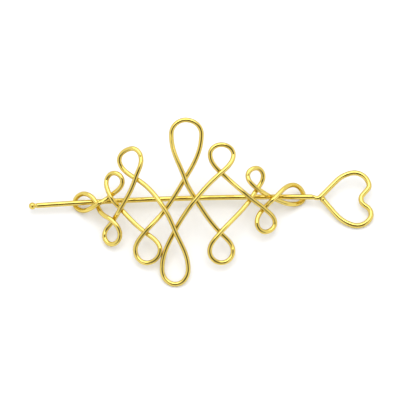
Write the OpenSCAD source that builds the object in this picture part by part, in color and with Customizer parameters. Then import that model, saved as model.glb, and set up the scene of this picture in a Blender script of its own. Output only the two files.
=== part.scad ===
// Hair slide of one looped wire with its hair stick, in millimetres.
// The slide is a single closed length of round wire. It runs through twelve
// teardrop loops and passes over and under itself, and is domed along its length.
// The stick goes over one end loop, under the whole weave and over the other end
// loop. Both are as they lie on a table: the slide leans on its two end loops and its
// lowest bottom loop, and the heart comes down beside it. +X points along the stick
// to its heart, +Z up.

/* [Slide wire] */
// Thickness of the slide's wire
wire_d = 2.0; // [1.6:0.1:2.0]
// Air left between two strands where they cross
crossing_gap = 0.24; // [0.2:0.02:0.4]
// Flat sides around the wire
wire_sides = 10; // [8:1:12]
// Wire turned between two rings of the mesh, in degrees
ring_turn = 16; // [12:1:24]
// Longest run between two rings
ring_run = 2.6; // [2:0.2:4]

/* [Dome] */
// Radius of the dome along the slide
dome_r = 95; // [90:1:97]
// Half the length over which the slide is domed
dome_half = 50; // [49.5:0.5:50.5]
// How far the tips of the two end loops are bent below the dome
end_drop = 1.8; // [1.8:0.1:2.2]

/* [Stick] */
// Thickness of the rod
rod_d = 2.2; // [1.8:0.1:2.2]
// Diameter of the ball on its tip
ball_d = 3.0; // [2.4:0.1:3.0]
// Centre of the ball, left of the slide's middle
ball_reach = 67.6; // [60:0.2:80]
// End of the rod at the heart, right of the slide's middle
rod_reach = 53.8; // [53:0.2:56]
// Radius of the rod's gentle bow
bow_r = 1500; // [1300:50:3000]
// Thickness where the rod is pinched between shaft and heart
neck_d = 1.8; // [1.6:0.1:2.0]
// Air between the rod and the end loops that it lies over
rod_gap = 0.85; // [0.8:0.05:0.95]
// Air left under the heart where it comes down to the table
heart_gap = 0.05; // [0.05:0.05:0.5]

/* [Hidden] */

gold = [0.86, 0.70, 0.26];

// Share of an ellipse's half axis that a quarter turn of curve reaches for
round_reach = 0.5523;
// The same for a loop's straight flank, and for a strand between two loops
flank_reach = 0.40;
strand_reach = 0.36;
// The slide's lean is looked for between these angles, halving them so often
least_lean = 5;
most_lean = 40;
lean_steps = 18;
// Climb of the wire where it passes the belly of a loop for the first time
first_climb = 0.45;
// Distance from the middle past which the end loops are bent down, and past which the
// slide's lowest wire belongs to one of them
end_bend = 41;
end_zone = 45;

// Sides around the rod where it is bent, and rings that its pinched neck takes
rod_sides = 12;
neck_rings = 6;
// How far the neck starts inside the rod, and how far its axis lies to one side of it
neck_inset = 1.0;
neck_shift = 0.15;
// Width of the groove between the rod and its ball
groove_w = 0.3;
// Bead of solder that closes the heart
solder_d = 2.6;
// Facets of the bowed rod, of the ball and of the small round forms
bow_facets = 256;
ball_facets = 48;
round_facets = 32;

// How the wire runs, a row for each loop in the order in which it meets them.
// A loop is a teardrop. Its neck is where its two flanks cross, and it points
// along its heading to its tip. The belly is where it is widest, as a share of the
// length. The two flanks have their own half width and cross the heading at their
// own angle. A turn of 1 goes round against the clock, -1 with it. On its way to the
// next loop the strand passes the mid point, whose climb is 0 under another strand,
// 1 over one and 0.5 by itself.
// name, neck x, neck y, heading, length, belly, first half, last half,
// first angle, last angle, turn, mid x, mid y, mid climb
LOOPS = [
    ["left end",       -39.6,  -1.1, 170, 10.0, 0.60, 4.0, 3.3, 58, 38,  1, -37.0,  0.2, 0.5],
    ["top left low",   -33.8,   2.3,  76, 10.0, 0.64, 3.9, 3.0, 37, 35,  1, -29.4, -3.3,   0],
    ["bottom left",    -19.2, -13.8, -87, 13.1, 0.58, 5.8, 4.8, 48, 45, -1, -10.5, -4.6,   0],
    ["top middle",      -1.7,   8.4,  87, 25.2, 0.76, 6.7, 6.2, 30, 20,  1,   2.8, -0.4,   0],
    ["bottom right",    12.9, -14.9, -89, 12.8, 0.61, 5.0, 5.0, 42, 44, -1,  26.4, -0.6,   0],
    ["top right low",   29.3,   3.6,  92,  8.9, 0.62, 2.9, 3.8, 38, 52,  1,  32.3,  1.6, 0.5],
    ["right end",       36.6,  -0.6,   3, 13.2, 0.66, 2.9, 5.4, 26, 39,  1,  34.2, -2.6, 0.5],
    ["low right",       31.9,  -4.9, -88, 10.0, 0.61, 3.4, 4.4, 48, 47,  1,  26.4, -0.6,   1],
    ["top right",       14.0,  10.7,  87, 12.0, 0.65, 5.0, 5.0, 50, 48, -1,   2.8, -0.4,   1],
    ["bottom middle",   -6.5, -13.6, -91, 22.7, 0.72, 5.6, 5.5, 28, 22,  1, -10.5, -4.6,   1],
    ["top left",       -22.7,   9.4,  97, 12.9, 0.65, 5.8, 3.6, 50, 26, -1, -29.4, -3.3,   1],
    ["low left",       -33.0,  -8.5, -94,  9.9, 0.60, 3.3, 3.4, 32, 49,  1, -38.0, -4.5, 0.5],
];
function neck(l) = [l[1], l[2]];
function heading(l) = l[3];
function loop_length(l) = l[4];
function belly(l) = l[5];
function first_half(l) = l[6];
function last_half(l) = l[7];
function first_angle(l) = l[8];
function last_angle(l) = l[9];
function turn(l) = l[10];
function mid(l) = [l[11], l[12]];
function mid_climb(l) = l[13];

// How the wire is bent past the end of the rod: the length of a straight run, with no
// turn, or the radius and turn of a bend (left is +)
// length or radius, turn
HEART_RUNS = [
    [1, 0], [2.2, -22], [2.2, 68],                           // pinched neck
    [9.7, 0], [13, -32], [6.5, -90], [2.7, -55], [3.3, 0],   // round the upper lobe
    [3, 96],                                                 // cleft
    [1.6, 0], [3.9, -90], [6.7, -71], [14.8, -34], [8.4, 0], // lower lobe to the neck
];

function unit(v) = v / norm(v);
function along(a) = [cos(a), sin(a)];
function left_of(v) = [-v.y, v.x];

// Rises from 0 to 1, level at both ends
function ease(t) = t * t * t * (10 - 15 * t + 6 * t * t);

// Height of the dome over the plane of its ends, with its end loops bent down
function dome(x) =
    sqrt(dome_r * dome_r - x * x) - sqrt(dome_r * dome_r - dome_half * dome_half)
    - end_drop * ease(max(0, min(1, (abs(x) - end_bend) / (dome_half - end_bend))));
// Height that lifts a strand squarely off the sloping dome by one unit
function steepness(x) = dome_r / sqrt(dome_r * dome_r - x * x);

// A strand's height over the dome. Its climb is 0 right under a crossing strand, 1 right
// over one, and between the two on its way from the one to the other.
function height(climb) = (wire_d + crossing_gap) * (ease(climb) - 0.5);
end_loops = [0, 6];

// A knot of the wire's path: place, climb, direction, reach before and after it
function knot(place, climb, way, before, after) = [place, climb, way, before, after];
function loop_knots(i) =
    let (
        l = LOOPS[i],
        d = along(heading(l)),
        side = left_of(d) * turn(l),
        n = neck(l),
        widest = n + d * belly(l) * loop_length(l),
        first = widest - side * first_half(l),
        last = widest + side * last_half(l),
        flank = flank_reach * belly(l) * loop_length(l),
        cap = round_reach * (1 - belly(l)) * loop_length(l),
        next = neck(LOOPS[(i + 1) % len(LOOPS)]),
        m = mid(l),
        to_mid = norm(m - n),
        to_next = norm(next - m)
    )
    [
        knot(n, 0, along(heading(l) - turn(l) * first_angle(l)),
             strand_reach * norm(n - mid(LOOPS[(i + len(LOOPS) - 1) % len(LOOPS)])),
             strand_reach * norm(first - n)),
        knot(first, first_climb, d, flank, cap),
        knot(n + d * loop_length(l), 0.5, side, round_reach * first_half(l),
             round_reach * last_half(l)),
        knot(last, 1 - first_climb, -d, cap, flank),
        knot(n, 1, -along(heading(l) + turn(l) * last_angle(l)),
             strand_reach * norm(last - n), strand_reach * to_mid),
        knot(m, mid_climb(l),
             unit(unit(m - n) * to_next + unit(next - m) * to_mid),
             strand_reach * to_mid, strand_reach * to_next),
    ];
knots = [for (i = [0 : len(LOOPS) - 1]) each loop_knots(i)];

function bezier(a, b, t) =
    let (u = 1 - t)
    a[0] * u * u * u
    + (a[0] + a[2] * a[4]) * 3 * u * u * t
    + (b[0] - b[2] * b[3]) * 3 * u * t * t
    + b[0] * t * t * t;
function turned(a, b) = acos(max(-1, min(1, a[2] * b[2])));
function rings(a, b) = ceil(max(2, norm(b[0] - a[0]) / ring_run, turned(a, b) / ring_turn));
function lifted(p, up) = [p.x, p.y, dome(p.x) + up * steepness(p.x)];
path = [
    for (i = [0 : len(knots) - 1])
        let (a = knots[i], b = knots[(i + 1) % len(knots)], n = rings(a, b))
        for (j = [0 : n - 1])
            let (t = j / n)
            lifted(bezier(a, b, t), height(a[1] + (b[1] - a[1]) * t))
];

// The slide leans over until a bottom loop is level with the two end loops
function low(points, lean) = min([for (p = points) p.z * cos(lean) + p.y * sin(lean)]);
end_points = [for (p = path) if (abs(p.x) > end_zone) p];
body_points = [for (p = path) if (abs(p.x) <= end_zone) p];
function level_lean(from, to, steps) =
    let (try = (from + to) / 2)
    steps == 0 ? try
    : low(body_points, try) > low(end_points, try) ? level_lean(try, to, steps - 1)
    : level_lean(from, try, steps - 1);
lean = level_lean(least_lean, most_lean, lean_steps);
slide_up = wire_d / 2 - low(path, lean);
lean_y = [for (p = path) p.y * cos(lean) - p.z * sin(lean)];

// The rod's axis, over the outer arcs of the end loops. A loop's third knot is its tip.
tip_knots = [for (i = end_loops) loop_knots(i)[2]];
rod_z = max([for (k = tip_knots) dome(k[0].x)]) + (wire_d + rod_d) / 2 + rod_gap;
rod_up = slide_up + rod_z * cos(lean);
rod_y = -rod_z * sin(lean);
// The rod is bowed to one side, and back on its straight line over the two arcs
bow_rise = pow(tip_knots[0][0].x, 2) / (2 * bow_r);
function bow(x) = bow_rise - x * x / (2 * bow_r);
rod_tilt = -asin(rod_reach / bow_r);

// Place and heading after so many runs of bent wire
function after(runs, start, count) =
    count == 0 ? start
    : let (
        s = after(runs, start, count - 1),
        run = runs[count - 1],
        r = run[0],
        a = run[1],
        k = sign(a),
        c = [s.x, s.y] + left_of(along(s.z)) * r * k
    )
    k == 0 ? [s.x + r * cos(s.z), s.y + r * sin(s.z), s.z]
    : concat(c - left_of(along(s.z + a)) * r * k, s.z + a);
// The same, a ring at a time: one ring a straight run, and one for each part of a bend
function bent_path(runs, start) = [
    for (i = [0 : len(runs) - 1])
        let (
            s = after(runs, start, i),
            run = runs[i],
            n = run[1] == 0 ? 1 : ceil(abs(run[1]) / ring_turn)
        )
        for (j = [1 : n])
            after([run[1] == 0 ? run : [run[0], run[1] * j / n]], s, 1)
];
neck_start = [rod_reach - neck_inset, bow(rod_reach) - neck_shift, rod_tilt];
heart_path = concat([neck_start], bent_path(HEART_RUNS, neck_start));
heart_end = heart_path[len(heart_path) - 1];
heart_low = min([for (p = heart_path) p.y]);
heart_right = max([for (p = heart_path) p.x]) + rod_d / 2;
// The stick rolls over until the heart's lower lobe all but lies on the table
heart_roll = asin((rod_up - rod_d / 2 - heart_gap) / -heart_low);

// The box's middle, so that the origin is under it
mid_x = (heart_right - ball_reach - ball_d / 2) / 2;
mid_y = (min(lean_y) + max(lean_y)) / 2;

// A tube round a row of places, with its way and radius at each. A closed one joins
// its last ring to its first, and an open one has a flat end at each end.
module tube(places, ways, radii, sides, closed) {
    n = len(places);
    ring_points = [
        for (i = [0 : n - 1])
            let (
                across = unit(cross(ways[i], [0, 0, 1])),
                up = cross(across, unit(ways[i]))
            )
            for (k = [0 : sides - 1])
                let (a = 360 * (k + 0.5) / sides)
                places[i] + (across * cos(a) + up * sin(a)) * radii[i]
    ];
    walls = [
        for (i = [0 : n - (closed ? 1 : 2)])
            for (k = [0 : sides - 1])
                let (
                    a = i * sides + k,
                    b = i * sides + (k + 1) % sides,
                    c = (i + 1) % n * sides + (k + 1) % sides,
                    d = (i + 1) % n * sides + k
                )
                each [[a, b, c], [a, c, d]]
    ];
    first_end = [for (k = [sides - 1 : -1 : 0]) k];
    last_end = [for (k = [0 : sides - 1]) (n - 1) * sides + k];
    polyhedron(
        points = ring_points,
        faces = closed ? walls : concat(walls, [first_end, last_end]),
        convexity = 8
    );
}

// One closed length of wire, its rings upright so that its ends meet
module woven_slide() {
    n = len(path);
    ways = [for (i = [0 : n - 1]) path[(i + 1) % n] - path[(i + n - 1) % n]];
    color(gold)
        translate([-mid_x, -mid_y, slide_up])
            rotate([lean, 0, 0])
                tube(path, ways, [for (p = path) wire_d / 2], wire_sides, true);
}

// The bowed rod, and at its tip a ball with a groove turned behind it
module rod_with_ball() {
    rod_left = ball_reach - ball_d / 2 - groove_w;
    translate([0, bow_rise - bow_r, 0])
        rotate([0, 0, 90 + rod_tilt])
            rotate_extrude(angle = asin(rod_left / bow_r) - rod_tilt, $fn = bow_facets)
                translate([bow_r, 0])
                    circle(d = rod_d, $fn = round_facets);
    translate([-ball_reach, bow(ball_reach), 0]) {
        sphere(d = ball_d, $fn = ball_facets);
        rotate([0, 90, asin(ball_reach / bow_r)])
            cylinder(h = ball_d / 2 + 2 * groove_w, d = neck_d, $fn = round_facets);
    }
}

// Neck and heart, bent from the same wire and closed at the neck with solder
module heart() {
    tube(
        [for (s = heart_path) [s.x, s.y, 0]],
        [for (s = heart_path) [cos(s.z), sin(s.z), 0]],
        [for (i = [0 : len(heart_path) - 1]) (i < neck_rings ? neck_d : rod_d) / 2],
        rod_sides, false
    );
    translate([heart_end.x, heart_end.y, 0])
        sphere(d = solder_d, $fn = round_facets);
}

module stick() {
    color(gold)
        translate([-mid_x, rod_y - mid_y, rod_up])
            rotate([heart_roll, 0, 0]) {
                rod_with_ball();
                heart();
            }
}

woven_slide();
stick();
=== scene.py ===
"""Hair slide of one looped gold wire with its hair stick, lying on a white table.

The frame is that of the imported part, in metres: +X runs along the stick to its heart,
+Z is up, and the table is at Z = 0. The two pieces' own sizes are in millimetres, and
MM takes them to metres.
"""

from math import asin, ceil, cos, degrees, pi, radians, sin, sqrt

import bpy
from mathutils import Matrix, Vector


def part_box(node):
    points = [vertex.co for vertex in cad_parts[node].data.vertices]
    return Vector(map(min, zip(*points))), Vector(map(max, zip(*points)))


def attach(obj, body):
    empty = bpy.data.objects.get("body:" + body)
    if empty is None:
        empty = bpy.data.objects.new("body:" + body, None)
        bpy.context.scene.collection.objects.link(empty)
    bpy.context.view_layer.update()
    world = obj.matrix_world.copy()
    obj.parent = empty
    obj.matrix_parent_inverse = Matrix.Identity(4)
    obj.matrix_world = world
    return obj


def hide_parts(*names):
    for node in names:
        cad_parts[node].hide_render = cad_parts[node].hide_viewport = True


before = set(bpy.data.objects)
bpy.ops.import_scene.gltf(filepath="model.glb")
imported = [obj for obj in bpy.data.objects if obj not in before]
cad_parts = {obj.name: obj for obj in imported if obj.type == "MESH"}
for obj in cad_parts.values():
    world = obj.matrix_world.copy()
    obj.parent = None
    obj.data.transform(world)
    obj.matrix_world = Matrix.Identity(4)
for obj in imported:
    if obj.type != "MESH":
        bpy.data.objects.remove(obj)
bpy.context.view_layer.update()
MM = 0.001

# Camera
# It looks down on the table from the front, a little from the left, at a long
# focal length. The ornament takes up most of the width of the picture.
CAMERA_AZIMUTH = radians(-1.74)
CAMERA_ELEVATION = radians(63.2)
CAMERA_DISTANCE = 900 * MM
SENSOR_WIDTH = 36  # in millimetres, as Blender takes it
PIXEL = 0.4326 * MM  # width of a pixel at the ornament
PICTURE_PIXELS = 400
AIM = Vector((-0.40, 6.86, 2.92)) * MM

toward_camera = Vector((
    sin(CAMERA_AZIMUTH) * cos(CAMERA_ELEVATION),
    -cos(CAMERA_AZIMUTH) * cos(CAMERA_ELEVATION),
    sin(CAMERA_ELEVATION),
))
camera_data = bpy.data.cameras.new("product_camera")
camera_data.sensor_width = SENSOR_WIDTH
camera_data.lens = SENSOR_WIDTH * CAMERA_DISTANCE / (PIXEL * PICTURE_PIXELS)
camera_data.clip_start = 0.05
camera_data.clip_end = 20
camera = bpy.data.objects.new("product_camera", camera_data)
camera.location = AIM + toward_camera * CAMERA_DISTANCE
camera.rotation_mode = "QUATERNION"
camera.rotation_quaternion = (-toward_camera).to_track_quat("-Z", "Y")
bpy.context.collection.objects.link(camera)
bpy.context.scene.camera = camera
bpy.context.scene.view_settings.view_transform = "Standard"


# Woven slide
# One closed length of 2 mm round brass wire, bent round pegs into twelve loops that
# pass over and under each other, pressed to a dome over a former, then polished and
# gold plated. Its loops are laid out here as they are on the bending board.
WIRE_RADIUS = 1.0
CROSSING_GAP = 0.24  # air left between two strands where they cross
DOME_RADIUS = 95
DOME_HALF = 50  # half the length over which the slide is domed
END_DROP = 1.8  # how far the tips of the end loops are bent below the dome
END_BEND = 41  # distance from the middle past which they are bent down
SLIDE_LEAN = radians(23.73)  # as it lies on its lower loops
FIRST_CLIMB = 0.45  # of the wire where it passes the belly of a loop for the first time
# How far the curves reach from their knots, as shares: of an ellipse's half axis in a
# quarter turn, of the way from a loop's neck to its belly, and of the way between knots
ROUND_REACH, FLANK_REACH, STRAND_REACH = 0.5523, 0.40, 0.36

# How the wire runs, a row for each loop in the order in which it meets them. A loop is
# a teardrop. Its neck is where its two flanks cross, and its tip lies from there along
# its heading. The belly is where it is widest, as a share of the length. The flanks have
# their own half width and cross the heading at their own angle. A turn of 1 goes round
# against the clock, -1 with it. On its way to the next loop the strand passes the mid
# point, whose climb is 0 under another strand, 1 over one and 0.5 by itself.
# The columns are name, neck x, neck y, heading, length, belly, first half, last half,
# first angle, last angle, turn, mid x, mid y and mid climb.
LOOPS = [
    ("left end",       -39.6,  -1.1, 170, 10.0, 0.60, 4.0, 3.3, 58, 38,  1, -37.0,  0.2, 0.5),
    ("top left low",   -33.8,   2.3,  76, 10.0, 0.64, 3.9, 3.0, 37, 35,  1, -29.4, -3.3,   0),
    ("bottom left",    -19.2, -13.8, -87, 13.1, 0.58, 5.8, 4.8, 48, 45, -1, -10.5, -4.6,   0),
    ("top middle",      -1.7,   8.4,  87, 25.2, 0.76, 6.7, 6.2, 30, 20,  1,   2.8, -0.4,   0),
    ("bottom right",    12.9, -14.9, -89, 12.8, 0.61, 5.0, 5.0, 42, 44, -1,  26.4, -0.6,   0),
    ("top right low",   29.3,   3.6,  92,  8.9, 0.62, 2.9, 3.8, 38, 52,  1,  32.3,  1.6, 0.5),
    ("right end",       36.6,  -0.6,   3, 13.2, 0.66, 2.9, 5.4, 26, 39,  1,  34.2, -2.6, 0.5),
    ("low right",       31.9,  -4.9, -88, 10.0, 0.61, 3.4, 4.4, 48, 47,  1,  26.4, -0.6,   1),
    ("top right",       14.0,  10.7,  87, 12.0, 0.65, 5.0, 5.0, 50, 48, -1,   2.8, -0.4,   1),
    ("bottom middle",   -6.5, -13.6, -91, 22.7, 0.72, 5.6, 5.5, 28, 22,  1, -10.5, -4.6,   1),
    ("top left",       -22.7,   9.4,  97, 12.9, 0.65, 5.8, 3.6, 50, 26, -1, -29.4, -3.3,   1),
    ("low left",       -33.0,  -8.5, -94,  9.9, 0.60, 3.3, 3.4, 32, 49,  1, -38.0, -4.5, 0.5),
]

# How finely the wire is drawn: its sides, and about the longest run and the widest turn
# in degrees from one ring of its mesh to the next
WIRE_SIDES = 24
RING_RUN = 0.6
RING_TURN = 5
# Size of a flat end on the wire's map, small because drawing lines don't run over it
END_MAP_STEP = 0.01


def along(angle):
    """Unit step on the bending board at an angle in degrees."""
    return Vector((cos(radians(angle)), sin(radians(angle))))


def left_of(way):
    """The same step a quarter turn to the left."""
    return Vector((-way.y, way.x))


def ease(t):
    """From 0 to 1 with a soft start and a soft end."""
    return t * t * t * (10 - 15 * t + 6 * t * t)


def on_dome(place, climb):
    """A place on the board carried up to the dome, under (0) or over (1) a strand."""
    x = place.x
    up = sqrt(DOME_RADIUS**2 - x * x) - sqrt(DOME_RADIUS**2 - DOME_HALF**2)
    up -= END_DROP * ease(max(0, min(1, (abs(x) - END_BEND) / (DOME_HALF - END_BEND))))
    off = (2 * WIRE_RADIUS + CROSSING_GAP) * (ease(climb) - 0.5)
    return Vector((x, place.y, up + off * DOME_RADIUS / sqrt(DOME_RADIUS**2 - x * x)))


def loop_knots(i):
    """Six knots of a loop: place, climb, direction, reach before and reach after."""
    (_, nx, ny, heading, length, belly, first_half, last_half,
     first_angle, last_angle, turn, mx, my, mid_climb) = LOOPS[i]
    before = LOOPS[i - 1]
    after = LOOPS[(i + 1) % len(LOOPS)]
    neck, mid = Vector((nx, ny)), Vector((mx, my))
    mid_before, next_neck = Vector(before[11:13]), Vector(after[1:3])
    way = along(heading)
    side = left_of(way) * turn
    widest = neck + way * belly * length
    first, last = widest - side * first_half, widest + side * last_half
    flank = FLANK_REACH * belly * length
    cap = ROUND_REACH * (1 - belly) * length
    to_mid, to_next = (mid - neck).length, (next_neck - mid).length
    mid_way = (mid - neck).normalized() * to_next + (next_neck - mid).normalized() * to_mid
    return [
        (neck, 0, along(heading - turn * first_angle),
         STRAND_REACH * (neck - mid_before).length, STRAND_REACH * (first - neck).length),
        (first, FIRST_CLIMB, way, flank, cap),
        (neck + way * length, 0.5, side, ROUND_REACH * first_half, ROUND_REACH * last_half),
        (last, 1 - FIRST_CLIMB, -way, cap, flank),
        (neck, 1, -along(heading + turn * last_angle),
         STRAND_REACH * (last - neck).length, STRAND_REACH * to_mid),
        (mid, mid_climb, mid_way.normalized(), STRAND_REACH * to_mid, STRAND_REACH * to_next),
    ]


def bent_wire(knots):
    """Places along the closed wire that runs through the knots."""
    places = []
    for a, b in zip(knots, knots[1:] + knots[:1]):
        run, bend = (b[0] - a[0]).length, degrees(a[2].angle(b[2]))
        rings = ceil(max(run / RING_RUN, bend / RING_TURN))
        for j in range(rings):
            t = j / rings
            u = 1 - t
            place = (a[0] * u**3 + (a[0] + a[2] * a[4]) * 3 * u * u * t
                     + (b[0] - b[2] * b[3]) * 3 * u * t * t + b[0] * t**3)
            places.append(on_dome(place, a[1] + (b[1] - a[1]) * t))
    return places


def wire_mesh(name, places, ways, radii, closed):
    """A round wire through the places. Its UV map is in millimetres round and along it."""
    sides, count = WIRE_SIDES, len(places)
    corners = []
    for place, way, radius in zip(places, ways, radii):
        across = way.cross(Vector((0, 0, 1))).normalized()
        up = across.cross(way).normalized()
        corners += [place + (across * cos(2 * pi * k / sides) + up * sin(2 * pi * k / sides))
                    * radius for k in range(sides)]
    faces, maps = [], []
    girth = 2 * pi * max(radii) / sides
    run = 0.0
    for i in range(count if closed else count - 1):
        j = (i + 1) % count
        step = (places[j] - places[i]).length
        for k in range(sides):
            m = (k + 1) % sides
            faces.append((i * sides + k, i * sides + m, j * sides + m, j * sides + k))
            maps += [(k * girth, run), ((k + 1) * girth, run),
                     ((k + 1) * girth, run + step), (k * girth, run + step)]
        run += step
    if not closed:
        for ring, order in ((0, range(sides - 1, -1, -1)), (count - 1, range(sides))):
            faces.append([ring * sides + k for k in order])
            maps += [(k * END_MAP_STEP, ring * END_MAP_STEP) for k in order]
    mesh = bpy.data.meshes.new(name)
    mesh.from_pydata([c * MM for c in corners], [], faces)
    layer = mesh.uv_layers.new(name="wire_mm")
    for loop, uv in zip(layer.data, maps):
        loop.uv = uv
    mesh.polygons.foreach_set("use_smooth", [True] * len(faces))
    mesh.update()
    return mesh


def settle(mesh, turn, node):
    """Rolls a mesh about X as it lies on the table, and sets it where its node is."""
    mesh.transform(Matrix.Rotation(turn, 4, "X"))
    low = Vector([min(v.co[k] for v in mesh.vertices) for k in range(3)])
    high = Vector([max(v.co[k] for v in mesh.vertices) for k in range(3)])
    node_low, node_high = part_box(node)
    shift = (Vector(node_low) + Vector(node_high)) / 2 - (low + high) / 2
    mesh.transform(Matrix.Translation(shift))


def hex_linear(code):
    """An sRGB hex colour as linear numbers."""
    parts = [int(code[k:k + 2], 16) / 255 for k in (0, 2, 4)]
    return [p / 12.92 if p <= 0.04045 else ((p + 0.055) / 1.055) ** 2.4 for p in parts] + [1.0]


def add(tree, kind, settings=None, links=None):
    """Adds a node, sets its properties and sockets, and links sockets to other nodes."""
    made = tree.nodes.new(kind)
    for key, value in (settings or {}).items():
        if isinstance(key, str) and hasattr(made, key) and key not in made.inputs:
            setattr(made, key, value)
        else:
            made.inputs[key].default_value = value
    for key, source in (links or {}).items():
        tree.links.new(source, made.inputs[key])
    return made


def bare_material(name):
    """A material that has no nodes yet, and its node tree."""
    made = bpy.data.materials.new(name)
    made.use_nodes = True
    made.node_tree.nodes.clear()
    return made, made.node_tree


# Thin plating over brass loses brightness where it is seen edge on, so the wire has
# darker, browner edges
EDGE_TINT = hex_linear("93763A")


def plate_with_gold(tree, tones, drift, gloss, wear, relief=None):
    """Gold plating: two tones mixed by one pattern, and a gloss that follows another."""
    gold = add(tree, "ShaderNodeMix", {"data_type": "RGBA"}, {0: drift})
    gold.inputs[6].default_value = hex_linear(tones[0])
    gold.inputs[7].default_value = hex_linear(tones[1])
    shine = add(tree, "ShaderNodeMapRange", {3: gloss[0], 4: gloss[1]}, {0: wear})
    links = {"Base Color": gold.outputs[2], "Roughness": shine.outputs["Result"]}
    if relief:
        links["Normal"] = relief
    metal = add(tree, "ShaderNodeBsdfPrincipled",
                {"Metallic": 1.0, "Specular Tint": EDGE_TINT}, links)
    add(tree, "ShaderNodeOutputMaterial", None, {"Surface": metal.outputs["BSDF"]})


# Gold-plated brass wire, drawn, bent and polished. The thin plating gives a pale lemon
# gold that mirrors its surroundings. Fine lines from the drawing die run along it, and
# the pegs that it was bent round leave it very slightly uneven.
plated_wire, tree = bare_material("gold-plated brass wire, polished")
wire_map = add(tree, "ShaderNodeUVMap", {"uv_map": "wire_mm"}).outputs["UV"]
# Drawing lines 0.5 mm apart and some 25 mm long, coarser than the real ones of 0.05 mm,
# which would be too fine to show
LINE_SPACING, LINE_LENGTH = 0.5, 25
stretched = add(tree, "ShaderNodeMapping", {"Scale": (1 / LINE_SPACING, 1 / LINE_LENGTH, 1)},
                {"Vector": wire_map})
drawn = add(tree, "ShaderNodeTexNoise", {"Scale": 1.0, "Detail": 3, "Roughness": 0.6},
            {"Vector": stretched.outputs["Vector"]}).outputs["Fac"]
# Soft unevenness every 4 mm or so, where the wire was gripped
body_place = add(tree, "ShaderNodeTexCoord").outputs["Object"]
gripped = add(tree, "ShaderNodeTexNoise", {"Scale": 1 / (4 * MM), "Detail": 1},
              {"Vector": body_place}).outputs["Fac"]
# The plating's tone drifts over 12 mm or so between a paler and a deeper gold
tone = add(tree, "ShaderNodeTexNoise", {"Scale": 1 / (12 * MM), "Detail": 2},
           {"Vector": body_place}).outputs["Fac"]
grip_bump = add(tree, "ShaderNodeBump", {"Strength": 0.30, "Distance": 0.03 * MM},
                {"Height": gripped})
line_bump = add(tree, "ShaderNodeBump", {"Strength": 0.20, "Distance": 0.01 * MM},
                {"Height": drawn, "Normal": grip_bump.outputs["Normal"]})
plate_with_gold(tree, ("F0D97B", "E8CD66"), tone, (0.07, 0.15), drawn,
                line_bump.outputs["Normal"])

knots = [knot for i in range(len(LOOPS)) for knot in loop_knots(i)]
places = bent_wire(knots)
ways = [places[(i + 1) % len(places)] - places[i - 1] for i in range(len(places))]
slide_mesh = wire_mesh("slide_wire", places, ways, [WIRE_RADIUS] * len(places), True)
settle(slide_mesh, SLIDE_LEAN, "woven_slide")
slide = bpy.data.objects.new("slide_wire", slide_mesh)
bpy.context.collection.objects.link(slide)
slide_mesh.materials.append(plated_wire)
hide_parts("woven_slide")
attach(slide, "slide")


# Hair stick
# A bowed rod of 2.2 mm brass wire. Its left tip is turned to a small ball behind a
# groove. Its right end is pinched and bent on into an open heart, whose free end is
# hard-soldered to the neck before polishing and plating.
ROD_RADIUS = 1.1
ROD_REACH = 53.8  # end of the rod at the heart, right of the slide's middle
BOW_RADIUS = 1500
BALL_RADIUS = 1.5
BALL_REACH = 67.6  # centre of the ball, left of the slide's middle
GROOVE_RADIUS, GROOVE_WIDTH = 0.9, 0.3  # the width is that between ball and rod
SHOULDER = 0.4  # over which the rod rounds down to the groove
NECK_RADIUS = 0.9
NECK_INSET = 1.0  # how far the neck's bends start inside the rod
NECK_SHIFT = 0.15  # how far the neck's axis lies to one side of the rod's
PINCH_INSET, PINCH_LENGTH = 0.9, 1.4  # where the rod starts to narrow, and over what length
STICK_ROLL = radians(13.30)  # about its axis, until the heart comes down to the table
SOLDER_RADIUS = 1.3

# length of a straight run, or radius and turn of a bend in degrees (left is +)
HEART_RUNS = [
    (1, 0), (2.2, -22), (2.2, 68),                            # pinched neck
    (9.7, 0), (13, -32), (6.5, -90), (2.7, -55), (3.3, 0),    # round the upper lobe
    (3, 96),                                                  # cleft
    (1.6, 0), (3.9, -90), (6.7, -71), (14.8, -34), (8.4, 0),  # lower lobe to the neck
]
# The neck swells back to the wire's full thickness in its third run, number 2 in the
# list: from this heading in degrees on, and while it turns by this much
SWELL_RUN = 2
SWELL_FROM, SWELL_TURN = -6, 52

# How finely the stick is drawn: the rings of its shaft and of the pinched stretch, the
# longest straight run from ring to ring, the shortest from the pinched stretch to the
# neck, and how near to the groove's edges the rings beside them stand
SHAFT_RINGS = 150
PINCH_RINGS = 8
ROD_RUN, LEAST_RUN = 0.8, 0.15
EDGE_RING = 0.01


def run_on(place, heading, size, turn):
    """Where a straight run, or a bend, leads from a place and a heading."""
    if turn == 0:
        return place + along(heading) * size, heading
    hand = 1 if turn > 0 else -1
    centre = place + left_of(along(heading)) * size * hand
    return centre - left_of(along(heading + turn)) * size * hand, heading + turn


groove_start = sqrt(BALL_RADIUS**2 - GROOVE_RADIUS**2)
groove_end = BALL_RADIUS + GROOVE_WIDTH


def tip_radius(x):
    """Radius of the turned tip at a distance right of the ball's centre."""
    if x < groove_start:
        return sqrt(BALL_RADIUS**2 - x * x)
    if x < groove_end:
        return GROOVE_RADIUS
    rounded = sqrt(min(1, (x - groove_end) / SHOULDER))
    return GROOVE_RADIUS + (ROD_RADIUS - GROOVE_RADIUS) * rounded


def bow(x):
    """How far the rod's axis has dropped at a distance from the slide's middle."""
    return -x * x / (2 * BOW_RADIUS)


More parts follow.
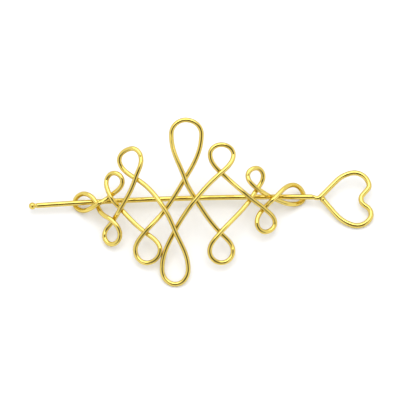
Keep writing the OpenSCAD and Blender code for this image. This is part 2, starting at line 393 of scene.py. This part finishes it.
# The ball's rings stand 6 degrees apart, from near its pole to just before the groove.
# The groove has one inside its first edge, one a third of the way along and one on each
# side of its far edge, and the shoulder has five.
ball_steps = [-BALL_RADIUS * cos(radians(a)) for a in range(4, 140, 6)]
tip_steps = ball_steps + [groove_start + EDGE_RING, groove_start + 2 / 3 * GROOVE_WIDTH]
tip_steps += [groove_end - EDGE_RING, groove_end + EDGE_RING]
tip_steps += [groove_end + SHOULDER * part for part in (1 / 8, 1 / 4, 1 / 2, 3 / 4, 1)]
rod_x = [s - BALL_REACH for s in tip_steps]
stick_radii = [tip_radius(s) for s in tip_steps]
shaft_start, shaft_end = rod_x[-1] + ROD_RUN, ROD_REACH - PINCH_INSET
for k in range(SHAFT_RINGS + 1):
    rod_x.append(shaft_start + (shaft_end - shaft_start) * k / SHAFT_RINGS)
    stick_radii.append(ROD_RADIUS)
stick_places = [Vector((x, bow(x), 0)) for x in rod_x]
stick_ways = [Vector((1, -x / BOW_RADIUS, 0)).normalized() for x in rod_x]

# The rod rounds over into the pinched neck, which lies to one side of it
heading = -degrees(asin(ROD_REACH / BOW_RADIUS))
for k in range(1, PINCH_RINGS + 1):
    t = k / PINCH_RINGS
    x = shaft_end + PINCH_LENGTH * t
    stick_places.append(Vector((x, bow(x) - NECK_SHIFT * ease(t), 0)))
    stick_ways.append(along(heading).to_3d())
    stick_radii.append(ROD_RADIUS + (NECK_RADIUS - ROD_RADIUS) * ease(t))

# Neck and heart, bent on from there
pinch_end = stick_places[-1].x + LEAST_RUN
place = Vector((ROD_REACH - NECK_INSET, bow(ROD_REACH) - NECK_SHIFT))
for i, (size, turn) in enumerate(HEART_RUNS):
    rings = ceil(abs(turn) / RING_TURN) if turn else ceil(size / ROD_RUN)
    for j in range(1, rings + 1):
        part = (size, turn * j / rings) if turn else (size * j / rings, 0)
        here, facing = run_on(place, heading, *part)
        if i < SWELL_RUN and here.x <= pinch_end:
            continue
        swell = 0 if i < SWELL_RUN else 1
        if i == SWELL_RUN:
            swell = ease(max(0, min(1, (facing - SWELL_FROM) / SWELL_TURN)))
        stick_places.append(here.to_3d())
        stick_ways.append(along(facing).to_3d())
        stick_radii.append(NECK_RADIUS + (ROD_RADIUS - NECK_RADIUS) * swell)
    place, heading = run_on(place, heading, size, turn)
heart_end = stick_places[-1]

# Hard-solder joint that closes the heart, filed round and plated with the rest. Its
# skin is a little duller and paler than the drawn wire, with file marks of 0.6 mm.
solder_joint, tree = bare_material("hard-solder joint, filed and gold plated")
body_place = add(tree, "ShaderNodeTexCoord").outputs["Object"]
filed = add(tree, "ShaderNodeTexNoise", {"Scale": 1 / (0.6 * MM), "Detail": 3},
            {"Vector": body_place}).outputs["Fac"]
file_bump = add(tree, "ShaderNodeBump", {"Strength": 0.4, "Distance": 0.04 * MM},
                {"Height": filed})
plate_with_gold(tree, ("EFD87C", "DEC156"), filed, (0.16, 0.30), filed,
                file_bump.outputs["Normal"])

# Ball tip, burnished after turning so that it slides through hair. It is the
# smoothest place of the stick and mirrors like a bead.
ball_tip, tree = bare_material("gold-plated brass ball tip, burnished")
body_place = add(tree, "ShaderNodeTexCoord").outputs["Object"]
rubbed = add(tree, "ShaderNodeTexNoise", {"Scale": 1 / (1.5 * MM), "Detail": 2},
             {"Vector": body_place}).outputs["Fac"]
plate_with_gold(tree, ("F0D97B", "E8CC60"), rubbed, (0.05, 0.10), rubbed)

# The solder bead is added to the stick's mesh, where the wire's end butts on the neck.
# Its first and last rings all but close at its poles.
BEAD_RINGS, POLE_RING = 14, 0.02
bead_points, bead_faces = [], []
for i in range(BEAD_RINGS + 1):
    a = pi * (i + POLE_RING) / (BEAD_RINGS + 2 * POLE_RING)
    for k in range(WIRE_SIDES):
        b = 2 * pi * k / WIRE_SIDES
        outward = Vector((sin(a) * cos(b), sin(a) * sin(b), cos(a)))
        bead_points.append((heart_end + outward * SOLDER_RADIUS) * MM)
for i in range(BEAD_RINGS):
    ring, following = i * WIRE_SIDES, (i + 1) * WIRE_SIDES
    for k in range(WIRE_SIDES):
        m = (k + 1) % WIRE_SIDES
        bead_faces.append((ring + k, following + k, following + m, ring + m))
bead_mesh = bpy.data.meshes.new("solder_bead")
bead_mesh.from_pydata(bead_points, [], bead_faces)
bead_mesh.polygons.foreach_set("use_smooth", [True] * len(bead_faces))

stick_mesh = wire_mesh("stick_wire", stick_places, stick_ways, stick_radii, False)
finishes = (plated_wire, ball_tip, solder_joint)
for mesh in (stick_mesh, bead_mesh):
    for finish in finishes:
        mesh.materials.append(finish)
# The ball's faces come first, and the small flat at its pole is the last but one
ball_faces = len(ball_steps) * WIRE_SIDES
for face in list(stick_mesh.polygons)[:ball_faces] + [stick_mesh.polygons[-2]]:
    face.material_index = finishes.index(ball_tip)
for face in bead_mesh.polygons:
    face.material_index = finishes.index(solder_joint)
stick = bpy.data.objects.new("stick_wire", stick_mesh)
bead = bpy.data.objects.new("solder_bead", bead_mesh)
bpy.context.collection.objects.link(stick)
bpy.context.collection.objects.link(bead)
with bpy.context.temp_override(active_object=stick, object=stick,
                               selected_editable_objects=[stick, bead]):
    bpy.ops.object.join()
settle(stick.data, STICK_ROLL, "stick")
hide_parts("stick")
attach(stick, "stick")


# White table
# A sheet of matt white board under the ornament, far wider than the picture and so
# bright that only the faint shadows of the wire show on it.
TABLE_HALF = 3.0
table_mesh = bpy.data.meshes.new("white_table")
table_mesh.from_pydata([(-TABLE_HALF, -TABLE_HALF, 0), (TABLE_HALF, -TABLE_HALF, 0),
                        (TABLE_HALF, TABLE_HALF, 0), (-TABLE_HALF, TABLE_HALF, 0)],
                       [], [(0, 1, 2, 3)])
table = bpy.data.objects.new("white_table", table_mesh)
bpy.context.collection.objects.link(table)
white_board, tree = bare_material("matt white board")
# Its white drifts very slightly from place to place, over 40 mm or so
body_place = add(tree, "ShaderNodeTexCoord").outputs["Object"]
fibre = add(tree, "ShaderNodeTexNoise", {"Scale": 1 / (40 * MM), "Detail": 2},
            {"Vector": body_place}).outputs["Fac"]
paper = add(tree, "ShaderNodeMix", {"data_type": "RGBA"}, {0: fibre})
paper.inputs[6].default_value = hex_linear("F2F3F6")
paper.inputs[7].default_value = hex_linear("F4F5F8")
board = add(tree, "ShaderNodeBsdfPrincipled", {"Roughness": 0.9, "Specular IOR Level": 0.2},
            {"Base Color": paper.outputs[2]})
add(tree, "ShaderNodeOutputMaterial", None, {"Surface": board.outputs["BSDF"]})
table_mesh.materials.append(white_board)


# Studio light
# A white tent all round, a broad soft box overhead, and what stands in the tent's
# opening round the camera, which shows only in polished metal.
TENT_STRENGTH = 0.97
world = bpy.data.worlds.new("white_tent")
bpy.context.scene.world = world
world.use_nodes = True
tree = world.node_tree
tree.nodes.clear()
tent = add(tree, "ShaderNodeBackground",
           {"Color": hex_linear("FFFFFF"), "Strength": TENT_STRENGTH})
add(tree, "ShaderNodeOutputWorld", None, {"Surface": tent.outputs["Background"]})


def direction(azimuth, elevation):
    """Unit step from the ornament toward an azimuth (0 is the front) and an elevation."""
    a, e = radians(azimuth), radians(elevation)
    return Vector((sin(a) * cos(e), -cos(a) * cos(e), sin(e)))


# The soft box hangs above the ornament, a little to its back. It gives the wires their
# soft shadows on the table and the highlights on their upper side.
SOFT_BOX_DISTANCE, SOFT_BOX_SIZE = 1.2, 1.1
SOFT_BOX_POWER = 6.5
to_soft_box = direction(180, 80)
soft_box_data = bpy.data.lights.new("soft_box", "AREA")
soft_box_data.shape = "SQUARE"
soft_box_data.size = SOFT_BOX_SIZE
soft_box_data.energy = SOFT_BOX_POWER
soft_box = bpy.data.objects.new("soft_box", soft_box_data)
soft_box.location = AIM + to_soft_box * SOFT_BOX_DISTANCE
soft_box.rotation_mode = "QUATERNION"
soft_box.rotation_quaternion = (-to_soft_box).to_track_quat("-Z", "Y")
bpy.context.collection.objects.link(soft_box)

# In the tent's opening stand the dark, warm room round the camera and, all round that,
# a grey apron down to the table. Each is a curved card, given by its name, material,
# colour, distance, lowest and highest elevation, and half its width as an angle.
OPENING_AZIMUTH = 6
CARD_PARTS = 8
for name, finish, colour, distance, low, high, half in (
        ("dark_room", "dark studio cloth", "463B27", 1.1, 44, 79, 27),
        ("grey_apron", "grey studio cloth", "A49F90", 1.2, -6, 84, 34)):
    points, faces = [], []
    sideways = direction(OPENING_AZIMUTH + 90, 0) * distance * sin(radians(half))
    for k in range(CARD_PARTS + 1):
        elevation = low + (high - low) * k / CARD_PARTS
        centre = AIM + direction(OPENING_AZIMUTH, elevation) * distance
        points += [centre - sideways, centre + sideways]
        if k:
            faces.append((2 * k - 2, 2 * k - 1, 2 * k + 1, 2 * k))
    mesh = bpy.data.meshes.new(name)
    mesh.from_pydata(points, [], faces)
    card = bpy.data.objects.new(name, mesh)
    bpy.context.collection.objects.link(card)
    cloth, tree = bare_material(finish)
    weave = add(tree, "ShaderNodeBsdfDiffuse", {"Color": hex_linear(colour)})
    add(tree, "ShaderNodeOutputMaterial", None, {"Surface": weave.outputs["BSDF"]})
    mesh.materials.append(cloth)
    card.visible_camera = False
    card.visible_diffuse = False
    card.visible_shadow = False
